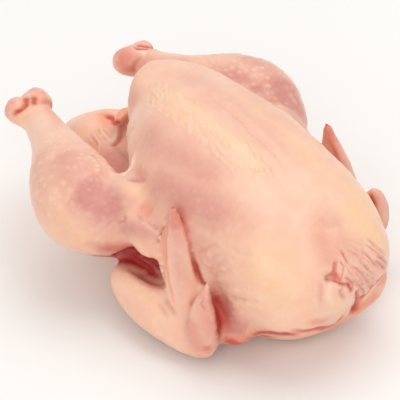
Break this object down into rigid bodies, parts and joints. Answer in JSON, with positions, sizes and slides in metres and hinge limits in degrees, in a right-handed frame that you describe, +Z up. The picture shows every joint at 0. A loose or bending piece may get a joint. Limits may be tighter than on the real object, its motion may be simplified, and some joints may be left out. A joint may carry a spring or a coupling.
{
  "type": "whole raw chicken",
  "caption": "Plucked and drawn raw chicken lying on its back, breast up, with folded wings, spread legs cut at the hocks, tail, open vent and tucked neck skin.",
  "frame": {"origin": "on the table, in the middle of the flat patch that the back rests on", "axes": "+X from the tail to the neck end, +Z up from the back to the breast, the bird's left side at -Y"},
  "size_m": [0.2736, 0.2044, 0.1211],
  "materials": {
    "skin": "moist raw chicken skin, pale cream pink with yellow fat, deep red in the folds"
  },
  "bodies": {
    "root": {"chicken": "skin"}
  },
  "joints": []
}
